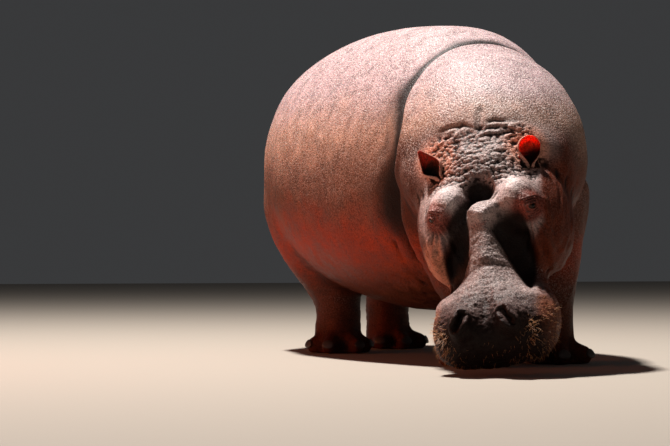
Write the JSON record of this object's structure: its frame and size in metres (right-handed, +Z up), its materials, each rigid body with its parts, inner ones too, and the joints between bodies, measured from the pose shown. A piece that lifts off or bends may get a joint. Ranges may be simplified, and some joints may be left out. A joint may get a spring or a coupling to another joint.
{
  "type": "grazing hippopotamus model",
  "caption": "Life-size still model of a common hippopotamus standing with its head lowered to graze.",
  "frame": {"origin": "on the floor, under the centre of the animal's bounding box", "axes": "+Z up, the animal's rump towards +Y and its head towards -Y, its left side on +X"},
  "size_m": [1.2248, 2.9364, 1.437],
  "materials": {
    "hide_trunk": "thick bare hide, mauve-brown above and redder below",
    "hide_neck": "thick bare hide, mauve-brown above and redder below",
    "hide_head": "thick bare hide, mauve-brown above and redder below",
    "hide_lower_jaw": "thick bare hide, mauve-brown above and redder below",
    "hide_tail": "thick bare hide, mauve-brown above and redder below",
    "hide_foreleg_left": "thick bare hide, mauve-brown above and redder below",
    "hide_foreleg_right": "thick bare hide, mauve-brown above and redder below",
    "hide_hindleg_left": "thick bare hide, mauve-brown above and redder below",
    "hide_hindleg_right": "thick bare hide, mauve-brown above and redder below",
    "hide_forefoot_left": "thick bare hide, mauve-brown above and redder below",
    "hide_forefoot_right": "thick bare hide, mauve-brown above and redder below",
    "hide_hindfoot_left": "thick bare hide, mauve-brown above and redder below",
    "hide_hindfoot_right": "thick bare hide, mauve-brown above and redder below",
    "ear_hide_ear_left": "thin soft reddish ear skin",
    "ear_hide_ear_right": "thin soft reddish ear skin",
    "eye_gloss_eye_left": "wet dark eye, glossy and opaque",
    "eye_gloss_eye_right": "wet dark eye, glossy and opaque",
    "nail_horn_forefoot_left_nail_1": "dull dark horn of a toenail",
    "nail_horn_forefoot_left_nail_2": "dull dark horn of a toenail",
    "nail_horn_forefoot_left_nail_3": "dull dark horn of a toenail",
    "nail_horn_forefoot_left_nail_4": "dull dark horn of a toenail",
    "nail_horn_forefoot_right_nail_1": "dull dark horn of a toenail",
    "nail_horn_forefoot_right_nail_2": "dull dark horn of a toenail",
    "nail_horn_forefoot_right_nail_3": "dull dark horn of a toenail",
    "nail_horn_forefoot_right_nail_4": "dull dark horn of a toenail",
    "nail_horn_hindfoot_left_nail_1": "dull dark horn of a toenail",
    "nail_horn_hindfoot_left_nail_2": "dull dark horn of a toenail",
    "nail_horn_hindfoot_left_nail_3": "dull dark horn of a toenail",
    "nail_horn_hindfoot_left_nail_4": "dull dark horn of a toenail",
    "nail_horn_hindfoot_right_nail_1": "dull dark horn of a toenail",
    "nail_horn_hindfoot_right_nail_2": "dull dark horn of a toenail",
    "nail_horn_hindfoot_right_nail_3": "dull dark horn of a toenail",
    "nail_horn_hindfoot_right_nail_4": "dull dark horn of a toenail"
  },
  "bodies": {
    "root": {"trunk": "hide_trunk", "neck": "hide_neck", "head": "hide_head", "lower_jaw": "hide_lower_jaw", "tail": "hide_tail", "foreleg_left": "hide_foreleg_left", "foreleg_right": "hide_foreleg_right", "hindleg_left": "hide_hindleg_left", "hindleg_right": "hide_hindleg_right", "forefoot_left": "hide_forefoot_left", "forefoot_right": "hide_forefoot_right", "hindfoot_left": "hide_hindfoot_left", "hindfoot_right": "hide_hindfoot_right", "ear_left": "ear_hide_ear_left", "ear_right": "ear_hide_ear_right", "eye_left": "eye_gloss_eye_left", "eye_right": "eye_gloss_eye_right", "forefoot_left_nail_1": "nail_horn_forefoot_left_nail_1", "forefoot_left_nail_2": "nail_horn_forefoot_left_nail_2", "forefoot_left_nail_3": "nail_horn_forefoot_left_nail_3", "forefoot_left_nail_4": "nail_horn_forefoot_left_nail_4", "forefoot_right_nail_1": "nail_horn_forefoot_right_nail_1", "forefoot_right_nail_2": "nail_horn_forefoot_right_nail_2", "forefoot_right_nail_3": "nail_horn_forefoot_right_nail_3", "forefoot_right_nail_4": "nail_horn_forefoot_right_nail_4", "hindfoot_left_nail_1": "nail_horn_hindfoot_left_nail_1", "hindfoot_left_nail_2": "nail_horn_hindfoot_left_nail_2", "hindfoot_left_nail_3": "nail_horn_hindfoot_left_nail_3", "hindfoot_left_nail_4": "nail_horn_hindfoot_left_nail_4", "hindfoot_right_nail_1": "nail_horn_hindfoot_right_nail_1", "hindfoot_right_nail_2": "nail_horn_hindfoot_right_nail_2", "hindfoot_right_nail_3": "nail_horn_hindfoot_right_nail_3", "hindfoot_right_nail_4": "nail_horn_hindfoot_right_nail_4"}
  },
  "joints": []
}
